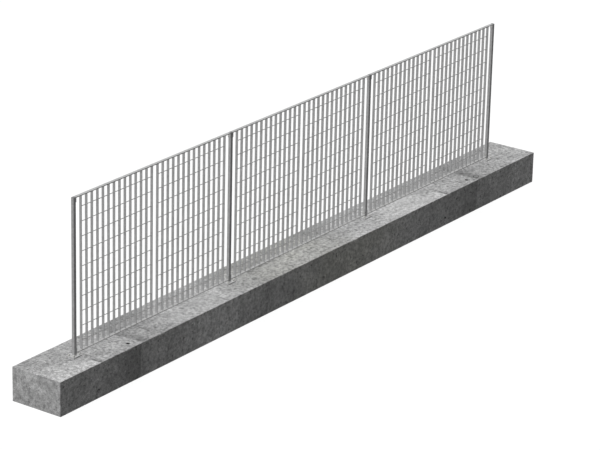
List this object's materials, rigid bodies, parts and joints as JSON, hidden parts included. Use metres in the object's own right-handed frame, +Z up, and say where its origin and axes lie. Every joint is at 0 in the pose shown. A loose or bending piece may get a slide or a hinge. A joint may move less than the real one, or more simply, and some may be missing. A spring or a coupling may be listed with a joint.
{
  "type": "steel grating guardrail",
  "caption": "Straight steel guardrail of square posts, flat rails and welded bar-and-rod grating panels, anchored by base plates along the top of a long rectangular concrete kerb.",
  "frame": {"origin": "centre of the kerb's underside, where it rests on the ground", "axes": "+X along the fence from its left end to its right end as seen from the front, +Y from the front to the back, +Z up"},
  "size_m": [6.916, 0.49, 1.625],
  "materials": {
    "concrete": "cast against formwork, mottled, with fine pores and stains",
    "galvanised_steel": "hot-dip galvanised, weathered to a dull even grey",
    "weld_metal": "galvanised weld bead, slightly rippled",
    "zinc_fasteners": "zinc plated, satin",
    "reinforcing_steel": "hot rolled, lightly rusted, cast into the concrete",
    "anchor_resin": "cured grey mortar resin",
    "cap_plastic": "moulded dark grey polyethylene, dulled by weather"
  },
  "bodies": {
    "root": {"concrete_kerb": "concrete", "kerb_main_bars": "reinforcing_steel", "kerb_stirrups": "reinforcing_steel", "base_plate_1": "galvanised_steel", "post_1": "galvanised_steel", "post_weld_1": "weld_metal", "anchor_studs_1": "zinc_fasteners", "anchor_washers_1": "zinc_fasteners", "anchor_nuts_1": "zinc_fasteners", "anchor_resin_1": "anchor_resin", "base_plate_2": "galvanised_steel", "post_2": "galvanised_steel", "post_weld_2": "weld_metal", "anchor_studs_2": "zinc_fasteners", "anchor_washers_2": "zinc_fasteners", "anchor_nuts_2": "zinc_fasteners", "anchor_resin_2": "anchor_resin", "base_plate_3": "galvanised_steel", "post_3": "galvanised_steel", "post_weld_3": "weld_metal", "anchor_studs_3": "zinc_fasteners", "anchor_washers_3": "zinc_fasteners", "anchor_nuts_3": "zinc_fasteners", "anchor_resin_3": "anchor_resin", "base_plate_4": "galvanised_steel", "post_4": "galvanised_steel", "post_weld_4": "weld_metal", "anchor_studs_4": "zinc_fasteners", "anchor_washers_4": "zinc_fasteners", "anchor_nuts_4": "zinc_fasteners", "anchor_resin_4": "anchor_resin", "top_rail_1": "galvanised_steel", "bottom_rail_1": "galvanised_steel", "rail_lugs_1": "galvanised_steel", "lug_bolts_1": "zinc_fasteners", "lug_nuts_1": "zinc_fasteners", "top_rail_2": "galvanised_steel", "bottom_rail_2": "galvanised_steel", "rail_lugs_2": "galvanised_steel", "lug_bolts_2": "zinc_fasteners", "lug_nuts_2": "zinc_fasteners", "top_rail_3": "galvanised_steel", "bottom_rail_3": "galvanised_steel", "rail_lugs_3": "galvanised_steel", "lug_bolts_3": "zinc_fasteners", "lug_nuts_3": "zinc_fasteners", "post_caps": "cap_plastic", "panel_1_bars": "galvanised_steel", "panel_1_rods": "galvanised_steel", "panel_2_bars": "galvanised_steel", "panel_2_rods": "galvanised_steel", "panel_3_bars": "galvanised_steel", "panel_3_rods": "galvanised_steel", "panel_4_bars": "galvanised_steel", "panel_4_rods": "galvanised_steel", "panel_5_bars": "galvanised_steel", "panel_5_rods": "galvanised_steel", "panel_6_bars": "galvanised_steel", "panel_6_rods": "galvanised_steel"}
  },
  "joints": []
}
